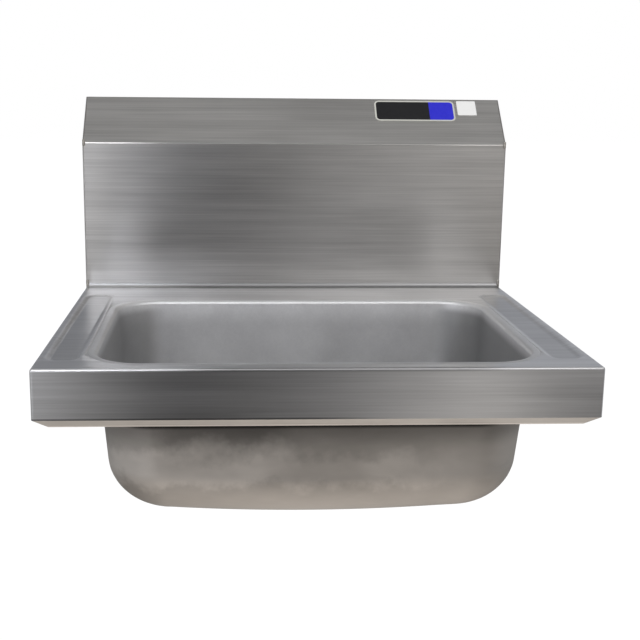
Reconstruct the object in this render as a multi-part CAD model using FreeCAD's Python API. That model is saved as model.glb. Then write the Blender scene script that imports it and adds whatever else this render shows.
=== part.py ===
import FreeCAD, Part
import math
import os
from FreeCAD import Vector

# Wall-hung steel hand sink. Millimetres. +Z up, the user stands at -Y, the wall is the plane y = 0.
# The origin is on the wall, in the middle of the bracket's row of screw holes.

# Overall sizes
width = 431.8
depth = 387.35
splash_depth = 47.5
splash_height = 147.5
sheet = 1.2
weld_gap = 0.1
front_y = -depth
splash_y = -splash_depth

# Splash, whose rear flange hooks over the wall bracket
cove = 4.0
splash_bend = 1.5
wall_air = 0.6
hook_height = 27.0
end_flange = 15.0
flange_end_gap = 4.0

# Wall bracket: the hook's seat above the row of holes fixes the deck's height in this frame
hook_z = 20.4
bracket_length = 330.0
bracket_sheet = 2.0
bracket_step = 4.0
hook_clear = 0.6
bracket_foot = 18.0
hook_lip = 18.0
screw_hole_r = 3.5
outer_hole_pitch = 279.4
inner_hole_pitch = 101.6
deck_z = hook_z + hook_height + wall_air - splash_depth - splash_height

# Apron round the deck
apron_height = 39.5
apron_bend = 2.0
return_run = 10.0
return_drop = 8.0
apron_low = deck_z - apron_height
return_low = apron_low - return_drop

# Bowl
side_deck = 40.4
front_deck = 17.0
back_deck = 74.65
mouth_x = width - 2 * side_deck
mouth_y = depth - splash_depth - front_deck - back_deck
mouth_corner = 41.0
rim_roll = 3.5
rim_flange = 4.5
wall_draft = 3.8
bowl_depth = 136.2
floor_crown = 2000.0
floor_radius = 42.0
floor_corner = 50.0
bowl_y = front_y + front_deck + mouth_y / 2
floor_z = deck_z - bowl_depth

# Drain troughs pressed into the deck at the left and right of the bowl
trough_edge = 3.9
trough_gap = 1.5
trough_front = 27.0
trough_back = 41.85
trough_inner_slope = 5.5
trough_outer_slope = 7.0
trough_end_slope = 6.0
trough_depth = 1.8
trough_corner = 11.0
trough_floor_corner = 7.2
trough_inner_x = mouth_x / 2 + rim_flange + trough_gap
trough_outer_x = width / 2 - trough_edge

# Drain
recess_r = 37.5
recess_slope = 3.0
recess_depth = 2.5
drain_hole_r = 24.0
flange_r = 32.0
flange_thick = 2.0
flange_round = 0.8
gasket_thick = 1.0
gasket_inset = 0.5
neck_r = 23.4
thread_end_r = 23.0
thread_end_length = 4.6
neck_bore_r = 19.6
seat_r = 21.6
seat_drop = 1.6
dish_r = 28.0
rubber_thick = 3.0
fibre_thick = 1.2
washer_r = 31.0
nut_height = 7.0
nut_across_flats = 58.0
thread_clear = 0.1
recess_z = floor_z - recess_depth
flange_low = recess_z + gasket_thick
flange_top = flange_low + flange_thick
under_bowl = recess_z - sheet
fibre_top = under_bowl - rubber_thick
nut_top = fibre_top - fibre_thick
nut_low = nut_top - nut_height
neck_low = nut_low - thread_end_length

# Lift-out strainer
cup_r = 17.6
cup_lip_r = 21.2
cup_sheet = 0.8
cup_height = 12.0
cup_round = 2.5
cup_hole_r = 1.6
inner_ring_r = 6.6
outer_ring_r = 11.4
inner_ring_count = 6
outer_ring_count = 12
post_r = 2.5
post_rise = 7.0
post_grip = 4.0
post_end = 0.6
collar_r = 4.5
collar_height = 1.5
knob_r = 7.5
knob_height = 6.5
knob_crown = 2.6
knob_foot = 1.2
cup_nut_r = 4.5
cup_nut_thick = 2.6
cup_seat = flange_top - seat_drop
cup_low = cup_seat + cup_sheet - cup_height
knob_low = flange_top + post_rise

# Blank labels on the sloping top of the splash, placed from its right end
label_width = 84.0
label_height = 28.0
label_from_end = 90.1
label_up = 46.5
label_corner = 5.0
label_thick = 0.6
sticker_width = 20.0
sticker_from_end = 35.1
sticker_up = 51.0
sticker_corner = 1.0
sticker_thick = 0.3

os.makedirs("parts", exist_ok=True)


def block(x0, x1, y0, y1, z0, z1):
    return Part.makeBox(x1 - x0, y1 - y0, z1 - z0, Vector(x0, y0, z0))


def tube(r_out, r_in, z0, z1, y=bowl_y):
    base = Vector(0, y, z0)
    solid = Part.makeCylinder(r_out, z1 - z0, base)
    if r_in:
        solid = solid.cut(Part.makeCylinder(r_in, z1 - z0, base))
    return solid


def cone(r_low, r_high, z0, z1):
    return Part.makeCone(r_low, r_high, z1 - z0, Vector(0, bowl_y, z0))


def rounded_outline(x0, x1, y0, y1, r, z):
    k = r * (1 - math.sqrt(0.5))
    p = [Vector(x0 + r, y0, z), Vector(x1 - r, y0, z), Vector(x1 - k, y0 + k, z), Vector(x1, y0 + r, z),
         Vector(x1, y1 - r, z), Vector(x1 - k, y1 - k, z), Vector(x1 - r, y1, z), Vector(x0 + r, y1, z),
         Vector(x0 + k, y1 - k, z), Vector(x0, y1 - r, z), Vector(x0, y0 + r, z), Vector(x0 + k, y0 + k, z)]
    edges = [Part.makeLine(p[0], p[1]), Part.Arc(p[1], p[2], p[3]).toShape(),
             Part.makeLine(p[3], p[4]), Part.Arc(p[4], p[5], p[6]).toShape(),
             Part.makeLine(p[6], p[7]), Part.Arc(p[7], p[8], p[9]).toShape(),
             Part.makeLine(p[9], p[10]), Part.Arc(p[10], p[11], p[0]).toShape()]
    return Part.Wire(edges)


def mirrored(solid):
    return solid.mirror(Vector(0, 0, 0), Vector(1, 0, 0))


def taper(low, high):
    return Part.makeLoft([low, high], True, True)


def prism(wire, height):
    return Part.Face(wire).extrude(Vector(0, 0, height))


def edges_where(shape, test):
    return [e for e in shape.Edges if test(e)]


def level(edge, z):
    return abs(edge.BoundBox.ZMin - z) < 1e-3 and abs(edge.BoundBox.ZMax - z) < 1e-3


def bent_strip(points, bend, thick, x0, x1):
    # A folded sheet: points run along its outer face in the y-z plane, the sheet lies on their right.
    inner = offset_points(points, thick)
    outer_edges = bent_edges(points, bend, x0)
    inner_edges = bent_edges(inner, bend - thick, x0)
    start = Part.makeLine(inner_edges[0].Vertexes[0].Point, outer_edges[0].Vertexes[0].Point)
    end = Part.makeLine(outer_edges[-1].Vertexes[-1].Point, inner_edges[-1].Vertexes[-1].Point)
    loop = Part.Wire(Part.__sortEdges__(outer_edges + inner_edges + [start, end]))
    return Part.Face(loop).extrude(Vector(x1 - x0, 0, 0))


def offset_points(points, thick):
    normals = []
    for (y0, z0), (y1, z1) in zip(points, points[1:]):
        run = math.hypot(y1 - y0, z1 - z0)
        normals.append(((z1 - z0) / run, -(y1 - y0) / run))
    moved = [(points[0][0] + normals[0][0] * thick, points[0][1] + normals[0][1] * thick)]
    for k in range(1, len(points) - 1):
        (ay, az), (by, bz) = normals[k - 1], normals[k]
        scale = thick / (1 + ay * by + az * bz)
        moved.append((points[k][0] + (ay + by) * scale, points[k][1] + (az + bz) * scale))
    moved.append((points[-1][0] + normals[-1][0] * thick, points[-1][1] + normals[-1][1] * thick))
    return moved


def bent_edges(points, bend, x):
    at = [Vector(x, y, z) for y, z in points]
    edges = []
    start = at[0]
    for before, corner, after in zip(at, at[1:], at[2:]):
        back = (before - corner).normalize()
        on = (after - corner).normalize()
        half = back.getAngle(on) / 2
        leg = bend / math.tan(half)
        middle = (back + on).normalize() * (bend / math.sin(half) - bend)
        edges.append(Part.makeLine(start, corner + back * leg))
        edges.append(Part.Arc(corner + back * leg, corner + middle, corner + on * leg).toShape())
        start = corner + on * leg
    edges.append(Part.makeLine(start, at[-1]))
    return edges


def pan_block(inset, back):
    solid = block(-width / 2 + inset, width / 2 - inset, front_y + inset, back, apron_low, deck_z - inset)
    top = edges_where(solid, lambda e: level(e, deck_z - inset) and e.CenterOfMass.y < back - 1)
    upright = edges_where(solid, lambda e: e.BoundBox.ZLength > 1 and e.CenterOfMass.y < back - 1)
    return solid.makeFillet(apron_bend - inset, top + upright)


def return_block(inset_top, inset_low, z_top, z_low, back):
    high = rounded_outline(-width / 2 + inset_top, width / 2 - inset_top, front_y + inset_top, back,
                           apron_bend - sheet, z_top)
    low = rounded_outline(-width / 2 + inset_low, width / 2 - inset_low, front_y + inset_low, back,
                          apron_bend - sheet, z_low)
    return taper(low, high)


def trough(side, drop):
    front = front_y + trough_front
    back = splash_y - trough_back
    top = rounded_outline(trough_inner_x, trough_outer_x, front, back, trough_corner, deck_z - drop)
    floor = rounded_outline(trough_inner_x + trough_inner_slope, trough_outer_x - trough_outer_slope,
                            front + trough_end_slope, back - trough_end_slope,
                            trough_floor_corner, deck_z - drop - trough_depth)
    solid = taper(floor, top)
    return solid if side > 0 else mirrored(solid)


def bowl_seat(grow, z0, z1):
    half_x = mouth_x / 2 + rim_flange + grow
    half_y = mouth_y / 2 + rim_flange + grow
    loop = rounded_outline(-half_x, half_x, bowl_y - half_y, bowl_y + half_y,
                           mouth_corner + rim_flange + grow, z0)
    return prism(loop, z1 - z0)


def make_deck_pan():
    slant = sheet * math.hypot(return_run, return_drop) / return_drop
    lift = (slant - sheet) * return_drop / return_run
    outer = pan_block(0, 0)
    outer = outer.fuse(return_block(0, return_run, apron_low, return_low, 0))
    inner = pan_block(sheet, 0)
    inner = inner.cut(block(-width, width, front_y, 0, return_low, apron_low + lift))
    inner = inner.fuse(return_block(sheet, return_run + slant, apron_low + lift, return_low, 0))
    pan = outer.cut(inner)
    pan = pan.cut(block(-width, width, splash_y, 0, return_low, deck_z))
    flat = width / 2 - apron_bend
    pan = pan.cut(block(-flat, flat, splash_y - cove, splash_y, deck_z - sheet, deck_z))
    pan = pan.fuse(cove_strip(flat))
    for side in (-1, 1):
        pan = pan.fuse(trough(side, sheet))
        pan = pan.cut(trough(side, 0))
    pan = pan.cut(bowl_seat(weld_gap, deck_z - rim_roll, deck_z + rim_roll))
    return pan.removeSplitter()


def cove_strip(half):
    # Quarter-round strip that turns the deck up into the splash.
    axis = Vector(-half, splash_y - cove, deck_z + cove)
    along = Vector(1, 0, 0)
    ring = Part.makeCylinder(cove + sheet, 2 * half, axis, along)
    ring = ring.cut(Part.makeCylinder(cove, 2 * half, axis, along))
    return ring.common(block(-half, half, splash_y - cove, splash_y + sheet, deck_z - sheet, deck_z + cove))


def bowl_block(grow):
    # The space the bowl encloses, grown by the sheet for its outside.
    low_z = floor_z - floor_radius
    slope = math.tan(math.radians(wall_draft))
    half_x = mouth_x / 2 - rim_roll + rim_roll * slope + grow
    half_y = mouth_y / 2 - rim_roll + rim_roll * slope + grow
    draw = (deck_z - low_z) * slope
    high = rounded_outline(-half_x, half_x, bowl_y - half_y, bowl_y + half_y,
                           mouth_corner - rim_roll + grow, deck_z)
    low = rounded_outline(-half_x + draw, half_x - draw, bowl_y - half_y + draw, bowl_y + half_y - draw,
                          floor_corner + grow, low_z)
    ball = Part.makeSphere(floor_crown + grow)
    ball.rotate(Vector(0, 0, 0), Vector(1, 0, 0), 90)
    ball.translate(Vector(0, bowl_y, floor_z + floor_crown))
    solid = taper(low, high).common(ball).Solids[0]
    foot = edges_where(solid, lambda e: e.BoundBox.ZMax < floor_z + floor_radius / 2)
    return solid.makeFillet(floor_radius + grow, foot)


def in_mouth(edge, z):
    box = edge.BoundBox
    across = max(abs(box.XMin), abs(box.XMax)) < mouth_x / 2
    along = max(abs(box.YMin - bowl_y), abs(box.YMax - bowl_y)) < mouth_y / 2
    return level(edge, z) and across and along


def make_sink_bowl():
    shell = bowl_block(sheet).fuse(bowl_seat(0, deck_z - sheet, deck_z)).removeSplitter()
    shell = shell.makeFillet(rim_roll - sheet, edges_where(shell, lambda e: in_mouth(e, deck_z - sheet)))
    shell = shell.cut(bowl_block(0))
    shell = shell.makeFillet(rim_roll, edges_where(shell, lambda e: in_mouth(e, deck_z)))
    foot_r = recess_r - recess_slope
    shell = shell.fuse(cone(foot_r + sheet, recess_r + sheet, recess_z - sheet, floor_z - sheet / 2))
    shell = shell.cut(cone(foot_r, recess_r, recess_z, floor_z))
    shell = shell.cut(tube(recess_r, 0, floor_z, floor_z + sheet))
    shell = shell.cut(tube(drain_hole_r, 0, recess_z - 2 * sheet, floor_z))
    return shell.removeSplitter()


def splash_points(low):
    back = -wall_air
    top = deck_z + splash_height + (back - splash_y)
    return [(splash_y, low), (splash_y, deck_z + splash_height), (back, top), (back, hook_z)]


def make_splash_panel():
    half = width / 2 - sheet - weld_gap / 2
    return bent_strip(splash_points(deck_z + cove + weld_gap), splash_bend, sheet, -half, half)


def make_splash_end(side):
    edges = bent_edges(splash_points(apron_low), splash_bend, 0)
    first = edges[0].Vertexes[0].Point
    last = Vector(0, -wall_air, apron_low)
    loop = edges + [Part.makeLine(edges[-1].Vertexes[-1].Point, last), Part.makeLine(last, first)]
    plate = Part.Face(Part.Wire(Part.__sortEdges__(loop))).extrude(Vector(sheet, 0, 0))
    plate.translate(Vector(width / 2 - sheet, 0, 0))
    flange = block(width / 2 - end_flange, width / 2 - sheet / 2, -wall_air - sheet, -wall_air,
                   apron_low + flange_end_gap, hook_z - flange_end_gap)
    plate = plate.fuse(flange)
    return plate if side > 0 else mirrored(plate)


def make_wall_bracket():
    lip_back = -wall_air - sheet - hook_clear
    half = bracket_length / 2
    foot = block(-half, half, -bracket_sheet, 0, -bracket_foot, hook_z)
    lip = block(-half, half, lip_back - bracket_sheet, lip_back, hook_z - bracket_step, hook_z + hook_lip)
    step = block(-half, half, lip_back, -bracket_sheet, hook_z - bracket_step, hook_z)
    bracket = foot.fuse(lip).fuse(step).removeSplitter()
    for pitch in (outer_hole_pitch, inner_hole_pitch):
        for side in (-1, 1):
            bracket = bracket.cut(Part.makeCylinder(screw_hole_r, 3 * bracket_sheet,
                                                    Vector(side * pitch / 2, -2 * bracket_sheet, 0),
                                                    Vector(0, 1, 0)))
    return bracket


def make_drain_body():
    body = tube(flange_r, 0, flange_low, flange_top)
    body = body.fuse(tube(neck_r, 0, nut_low, flange_low))
    body = body.fuse(tube(thread_end_r, 0, neck_low, nut_low))
    body = body.cut(tube(neck_bore_r, 0, neck_low, flange_top))
    body = body.cut(cone(seat_r, dish_r, cup_seat, flange_top))
    rim = edges_where(body, lambda e: level(e, flange_top) and e.BoundBox.XLength > 2 * dish_r + flange_round)
    return body.makeFillet(flange_round, rim)


def make_drain_gasket():
    return tube(flange_r - gasket_inset, neck_r + thread_clear, recess_z, flange_low)


def make_rubber_washer():
    return tube(washer_r, neck_r + thread_clear, fibre_top, under_bowl)


def make_fibre_washer():
    return tube(washer_r, neck_r + thread_clear, nut_top, fibre_top)


def hexagon(r, z0, z1):
    turns = [k * math.pi / 3 for k in range(7)]
    ring = [Vector(r * math.cos(turn), bowl_y + r * math.sin(turn), z0) for turn in turns]
    return prism(Part.makePolygon(ring), z1 - z0)


def make_locknut():
    corner_r = nut_across_flats / 2 / math.cos(math.pi / 6)
    nut = hexagon(corner_r, nut_low, nut_top)
    nut = nut.common(cone(nut_across_flats / 2, corner_r + nut_height, nut_low, nut_top))
    return nut.cut(tube(neck_r + thread_clear, 0, nut_low, nut_top))


def make_strainer_cup():
    top = cup_seat + cup_sheet
    cup = tube(cup_r, 0, cup_low, top).fuse(tube(cup_lip_r, 0, cup_seat, top)).removeSplitter()
    cup = cup.makeFillet(cup_round, edges_where(cup, lambda e: level(e, cup_low)))
    floor = cup_low + cup_sheet
    inside = tube(cup_r - cup_sheet, 0, floor, top)
    inside = inside.makeFillet(cup_round - cup_sheet, edges_where(inside, lambda e: level(e, floor)))
    cup = cup.cut(inside)
    cup = cup.cut(tube(post_r + thread_clear, 0, cup_low, floor))
    for ring_r, count in ((inner_ring_r, inner_ring_count), (outer_ring_r, outer_ring_count)):
        for k in range(count):
            turn = 2 * math.pi * k / count
            at = Vector(ring_r * math.cos(turn), bowl_y + ring_r * math.sin(turn), cup_low)
            cup = cup.cut(Part.makeCylinder(cup_hole_r, cup_sheet, at))
    return cup


def make_strainer_post():
    shaft = tube(post_r, 0, cup_low - cup_nut_thick - post_end, knob_low + post_grip)
    floor = cup_low + cup_sheet
    return shaft.fuse(tube(collar_r, 0, floor, floor + collar_height))


def make_strainer_knob():
    top = knob_low + knob_height
    knob = tube(knob_r, 0, knob_low, top)
    knob = knob.makeFillet(knob_crown, edges_where(knob, lambda e: level(e, top)))
    knob = knob.makeFillet(knob_foot, edges_where(knob, lambda e: level(e, knob_low)))
    return knob.cut(tube(post_r + thread_clear, 0, knob_low, knob_low + post_grip))


def make_strainer_nut():
    nut = hexagon(cup_nut_r, cup_low - cup_nut_thick, cup_low)
    return nut.cut(tube(post_r + thread_clear, 0, cup_low - cup_nut_thick, cup_low))


def on_slope(size_x, size_y, from_end, up, corner, thick):
    outline = rounded_outline(-size_x / 2, size_x / 2, -size_y / 2, size_y / 2, corner, 0)
    plate = prism(outline, thick)
    plate.rotate(Vector(0, 0, 0), Vector(1, 0, 0), 45)
    run = up * math.sqrt(0.5)
    plate.translate(Vector(width / 2 - from_end, splash_y + run, deck_z + splash_height + run))
    return plate


def make_label_plate():
    return on_slope(label_width, label_height, label_from_end, label_up, label_corner, label_thick)


def make_sticker():
    return on_slope(sticker_width, sticker_width, sticker_from_end, sticker_up, sticker_corner, sticker_thick)


pieces = {
    "wall_bracket": make_wall_bracket(),
    "deck_pan": make_deck_pan(),
    "sink_bowl": make_sink_bowl(),
    "splash_panel": make_splash_panel(),
    "splash_end_left": make_splash_end(-1),
    "splash_end_right": make_splash_end(1),
    "drain_body": make_drain_body(),
    "drain_gasket": make_drain_gasket(),
    "drain_rubber_washer": make_rubber_washer(),
    "drain_fibre_washer": make_fibre_washer(),
    "drain_locknut": make_locknut(),
    "strainer_cup": make_strainer_cup(),
    "strainer_post": make_strainer_post(),
    "strainer_knob": make_strainer_knob(),
    "strainer_nut": make_strainer_nut(),
    "label_plate": make_label_plate(),
    "sticker": make_sticker(),
}
for name, shape in pieces.items():
    solid = shape.Solids[0] if len(shape.Solids) == 1 else shape
    solid.exportStep("parts/%s.step" % name)
    print(name, len(shape.Solids), shape.isValid(), round(shape.Volume, 1))
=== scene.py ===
import math

import bmesh
import bpy
from mathutils import Matrix, Vector


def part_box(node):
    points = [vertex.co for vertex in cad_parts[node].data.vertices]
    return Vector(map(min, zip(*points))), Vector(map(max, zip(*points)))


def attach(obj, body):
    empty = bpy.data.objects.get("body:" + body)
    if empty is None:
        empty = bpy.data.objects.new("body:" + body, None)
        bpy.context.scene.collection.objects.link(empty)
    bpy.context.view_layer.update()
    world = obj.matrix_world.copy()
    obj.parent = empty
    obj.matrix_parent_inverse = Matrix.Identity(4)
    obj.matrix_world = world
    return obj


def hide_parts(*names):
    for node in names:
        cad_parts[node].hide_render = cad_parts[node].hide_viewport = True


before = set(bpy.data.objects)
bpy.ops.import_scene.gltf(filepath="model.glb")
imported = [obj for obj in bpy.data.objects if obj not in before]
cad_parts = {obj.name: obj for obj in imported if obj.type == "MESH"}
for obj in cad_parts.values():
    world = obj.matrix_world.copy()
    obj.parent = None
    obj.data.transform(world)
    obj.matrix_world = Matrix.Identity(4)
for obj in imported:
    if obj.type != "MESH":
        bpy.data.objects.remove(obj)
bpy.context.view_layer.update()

# Wall-hung steel hand sink. Metres. +Z up, the user stands at -Y, the wall is the plane y = 0.

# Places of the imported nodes
deck_low, deck_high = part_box("deck_pan")
bowl_low, bowl_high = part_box("sink_bowl")
splash_low, splash_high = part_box("splash_panel")
drain_low, drain_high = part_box("drain_body")
rubber_low, rubber_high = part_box("drain_rubber_washer")
fibre_low, fibre_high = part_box("drain_fibre_washer")
gasket_low, gasket_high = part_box("drain_gasket")
post_low, post_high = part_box("strainer_post")
knob_low, knob_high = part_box("strainer_knob")
cup_low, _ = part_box("strainer_cup")
label_low, label_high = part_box("label_plate")
sticker_low, sticker_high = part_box("sticker")

half_width = deck_high.x
front_y = deck_low.y
splash_y = splash_low.y
wall_y = splash_high.y
deck_z = bowl_high.z
under_z = deck_low.z
bowl_y = (bowl_low.y + bowl_high.y) / 2
label_x = (label_low.x + label_high.x) / 2
sticker_x = (sticker_low.x + sticker_high.x) / 2

# Limits for the same place, for a face that looks up or sideways, and for flat, smooth and sharp edges
same_place = 1e-6
facing = 0.999
sideways = 0.7
flat_angle = math.radians(0.5)
smooth_angle = math.radians(35)
edge_angle = math.radians(40)

# Sheet and folds
sheet = 0.0012
apron_height = 0.0395
apron_bend = 0.002
return_run = 0.010
cove = deck_high.z - deck_z
corner_y = splash_y - cove
splash_height = 0.1475
splash_bend = 0.0015
crease_z = deck_z + splash_height
crease_turn = math.pi / 4
top_turn = math.pi - crease_turn
slope_top_z = crease_z + (wall_y - splash_y) / math.tan(crease_turn)
hook_z = 0.0204
end_flange = 0.015
flange_end_gap = 0.004
edge_round = 0.0003
end_round = 0.0005
apron_low = deck_z - apron_height
apron_steps = 5
cove_steps = 8
crease_steps = 5
top_steps = 12
edge_steps = 2

# Bowl
rim_flange = 0.0045
rim_roll = 0.0035
mouth_x = bowl_high.x - rim_flange
mouth_y = bowl_high.y - bowl_y - rim_flange
mouth_corner = 0.041
wall_draft = math.radians(3.8)
bowl_depth = 0.1362
floor_corner = 0.047
floor_radius = 0.042
crown_radius = 2.0
floor_z = deck_z - bowl_depth
recess_r = 0.0375
recess_slope = 0.003
recess_depth = 0.0025
drain_hole_r = 0.024
corner_steps = 14
side_steps = 16
foot_steps = 18
roll_steps = 6
floor_cuts = 8

# Troughs pressed into the deck
trough_edge = 0.0039
trough_gap = 0.0015
trough_front = 0.027
trough_back = 0.04185
trough_inner_slope = 0.0055
trough_outer_slope = 0.007
trough_end_slope = 0.006
trough_depth = 0.0018
trough_corner = 0.011
trough_steps = 8
trough_corner_steps = 10

# Drain and strainer
flange_round = 0.0008
dish_r = 0.028
seat_r = 0.0216
seat_drop = 0.0016
neck_bore_r = 0.0196
neck_r = 0.0234
thread_end_r = 0.023
thread_end_length = 0.0046
thread_depth = 0.0006
thread_count = 3
thread_shares = (0.3, 0.55, 0.85)
flange_thick = 0.002
washer_bore_r = 0.0235
washer_round = 0.0003
post_r = 0.0025
collar_r = 0.0045
collar_height = 0.0015
knob_crown = 0.0026
knob_foot = 0.0012
knob_grip = 0.004
thread_clear = 0.0001
cup_sheet = 0.0008
basket_edge = 0.00015
round_steps = 72

# Weld beads
bead_r = 0.0015
bead_pitch = 0.0015
bead_count = 4
bead_rise = 0.0006
bead_shape = (1, 0.75, 0.8)

# Labels
label_size = (0.084, 0.028)
label_up = 0.0465
label_thick = 0.0006
label_corner = 0.005
label_corner_steps = 8
label_border = 0.0016
label_rise = 0.0001
label_edge = 0.0001
blue_share = 0.3
sticker_size = (0.020, 0.020)
sticker_up = 0.051
sticker_thick = 0.0003
sticker_corner = 0.001


# Materials

def add(tree, kind, **values):
    made = tree.nodes.new(kind)
    for name, value in values.items():
        setattr(made, name, value)
    return made


def set_inputs(made, **values):
    for name, value in values.items():
        made.inputs[name.replace("_", " ")].default_value = value


def new_group(name, inputs, outputs):
    # An empty node group. Its sockets are listed by kind.
    tree = bpy.data.node_groups.new(name, "ShaderNodeTree")
    for in_out, sockets in (("INPUT", inputs), ("OUTPUT", outputs)):
        for kind, labels in sockets.items():
            for label in labels:
                tree.interface.new_socket(label, in_out=in_out, socket_type="NodeSocket" + kind)
    return tree, add(tree, "NodeGroupInput"), add(tree, "NodeGroupOutput")


def scaled_noise(tree, vector, scale, detail):
    # Noise stretched by a fixed or linked number of cells per metre.
    spread = add(tree, "ShaderNodeVectorMath", operation="MULTIPLY")
    noise = add(tree, "ShaderNodeTexNoise")
    set_inputs(noise, Scale=1.0, Detail=detail, Roughness=noise_rough)
    tree.links.new(vector, spread.inputs[0])
    if isinstance(scale, tuple):
        spread.inputs[1].default_value = scale
    else:
        tree.links.new(scale, spread.inputs[1])
    tree.links.new(spread.outputs["Vector"], noise.inputs["Vector"])
    return noise.outputs["Fac"], spread.outputs["Vector"]


def mixed(tree, a, b, share):
    blend = add(tree, "ShaderNodeMix", data_type="FLOAT")
    if isinstance(share, float):
        blend.inputs["Factor"].default_value = share
    else:
        tree.links.new(share, blend.inputs["Factor"])
    tree.links.new(a, blend.inputs["A"])
    tree.links.new(b, blend.inputs["B"])
    return blend.outputs["Result"]


def times(tree, a, b):
    product = add(tree, "ShaderNodeMath", operation="MULTIPLY")
    tree.links.new(a, product.inputs[0])
    tree.links.new(b, product.inputs[1])
    return product.outputs["Value"]


def bumped(tree, height, strength, distance, normal=None):
    bumps = add(tree, "ShaderNodeBump")
    set_inputs(bumps, Strength=strength, Distance=distance)
    tree.links.new(height, bumps.inputs["Height"])
    if normal:
        tree.links.new(normal, bumps.inputs["Normal"])
    return bumps.outputs["Normal"]


def make_grain_group():
    # Fine scratches, longer streaks and soft clouds: a tone, a roughness and a height.
    tree, start, end = new_group(
        "sheet_grain",
        {"Vector": ("Vector", "Lines", "Clouds"),
         "Float": ("Cloud Share", "Tone Low", "Tone High", "Rough Low", "Rough High")},
        {"Float": ("Tone", "Roughness", "Height")})
    fine, spread = scaled_noise(tree, start.outputs["Vector"], start.outputs["Lines"], grain_detail)
    streak, _ = scaled_noise(tree, spread, streak_stretch, plain_detail)
    cloud, _ = scaled_noise(tree, start.outputs["Vector"], start.outputs["Clouds"], grain_detail)
    lines = mixed(tree, fine, streak, streak_share)
    whole = mixed(tree, lines, cloud, start.outputs["Cloud Share"])
    for low, high, target in (("Tone Low", "Tone High", "Tone"), ("Rough Low", "Rough High", "Roughness")):
        ramp = add(tree, "ShaderNodeMapRange")
        set_inputs(ramp, From_Min=grain_low, From_Max=grain_high)
        tree.links.new(whole, ramp.inputs["Value"])
        tree.links.new(start.outputs[low], ramp.inputs["To Min"])
        tree.links.new(start.outputs[high], ramp.inputs["To Max"])
        tree.links.new(ramp.outputs["Result"], end.inputs[target])
    tree.links.new(fine, end.inputs["Height"])
    return tree


def make_wave_group():
    # Slow unevenness of thin sheet.
    tree, start, end = new_group("sheet_wave", {"Vector": ("Vector",)}, {"Float": ("Height",)})
    slow, _ = scaled_noise(tree, start.outputs["Vector"], wave_scale, plain_detail)
    tree.links.new(slow, end.inputs["Height"])
    return tree


def make_speckle_group():
    # A cloudy tone between two colours, with a roughness and a height.
    tree, start, end = new_group(
        "speckle",
        {"Vector": ("Vector", "Scale"), "Color": ("Dark", "Light"), "Float": ("Rough Low", "Rough High")},
        {"Color": ("Color",), "Float": ("Roughness", "Height")})
    speck, _ = scaled_noise(tree, start.outputs["Vector"], start.outputs["Scale"], speck_detail)
    colour = add(tree, "ShaderNodeMix", data_type="RGBA")
    ramp = add(tree, "ShaderNodeMapRange")
    set_inputs(ramp, From_Min=speck_low, From_Max=speck_high)
    tree.links.new(speck, colour.inputs["Factor"])
    tree.links.new(start.outputs["Dark"], colour.inputs["A"])
    tree.links.new(start.outputs["Light"], colour.inputs["B"])
    tree.links.new(colour.outputs["Result"], end.inputs["Color"])
    tree.links.new(speck, ramp.inputs["Value"])
    tree.links.new(start.outputs["Rough Low"], ramp.inputs["To Min"])
    tree.links.new(start.outputs["Rough High"], ramp.inputs["To Max"])
    tree.links.new(ramp.outputs["Result"], end.inputs["Roughness"])
    tree.links.new(speck, end.inputs["Height"])
    return tree


def make_band_group():
    # A soft step from 0 to 1 between two distances along a direction.
    tree, start, end = new_group("soft_band", {"Vector": ("Vector", "Direction"), "Float": ("Start", "End")},
                                 {"Float": ("Mask",)})
    along = add(tree, "ShaderNodeVectorMath", operation="DOT_PRODUCT")
    step = add(tree, "ShaderNodeMapRange", interpolation_type="SMOOTHSTEP")
    tree.links.new(start.outputs["Vector"], along.inputs[0])
    tree.links.new(start.outputs["Direction"], along.inputs[1])
    tree.links.new(along.outputs["Value"], step.inputs["Value"])
    tree.links.new(start.outputs["Start"], step.inputs["From Min"])
    tree.links.new(start.outputs["End"], step.inputs["From Max"])
    tree.links.new(step.outputs["Result"], end.inputs["Mask"])
    return tree


def fade(axis, none, full):
    # A band along an axis: nothing up to one place, all of it from the other place on.
    sign = 1 if full > none else -1
    return tuple(sign * (letter == axis) for letter in "xyz"), sign * none, sign * full


def patched(tree, place, tone, patches):
    # Dulls the tone in each patch by a share, or lifts it where the share is below 0. Bands close a patch in.
    for share, *bands in patches:
        mask = None
        for direction, start, end in bands:
            band = add(tree, "ShaderNodeGroup", node_tree=soft_band)
            set_inputs(band, Direction=direction, Start=start, End=end)
            tree.links.new(place, band.inputs["Vector"])
            mask = times(tree, mask, band.outputs["Mask"]) if mask else band.outputs["Mask"]
        keep = add(tree, "ShaderNodeMapRange")
        set_inputs(keep, To_Min=1.0, To_Max=1.0 - share)
        tree.links.new(mask, keep.inputs["Value"])
        tone = times(tree, tone, keep.outputs["Result"])
    return tone


def uneven(tree, place):
    # The place shifted by a slow noise, so that a patch gets a ragged edge.
    noise = add(tree, "ShaderNodeTexNoise")
    set_inputs(noise, Scale=ragged_scale, Detail=ragged_detail, Roughness=ragged_rough)
    spread = add(tree, "ShaderNodeVectorMath", operation="MULTIPLY_ADD")
    spread.inputs[1].default_value = [2 * ragged_shift] * 3
    centred = add(tree, "ShaderNodeVectorMath", operation="SUBTRACT")
    centred.inputs[1].default_value = [ragged_shift] * 3
    tree.links.new(place, noise.inputs["Vector"])
    tree.links.new(noise.outputs["Color"], spread.inputs[0])
    tree.links.new(place, spread.inputs[2])
    tree.links.new(spread.outputs["Vector"], centred.inputs[0])
    return centred.outputs["Vector"]


def new_material(name):
    made = bpy.data.materials.new(name)
    made.use_nodes = True
    return made, made.node_tree, made.node_tree.nodes["Principled BSDF"]


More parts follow.
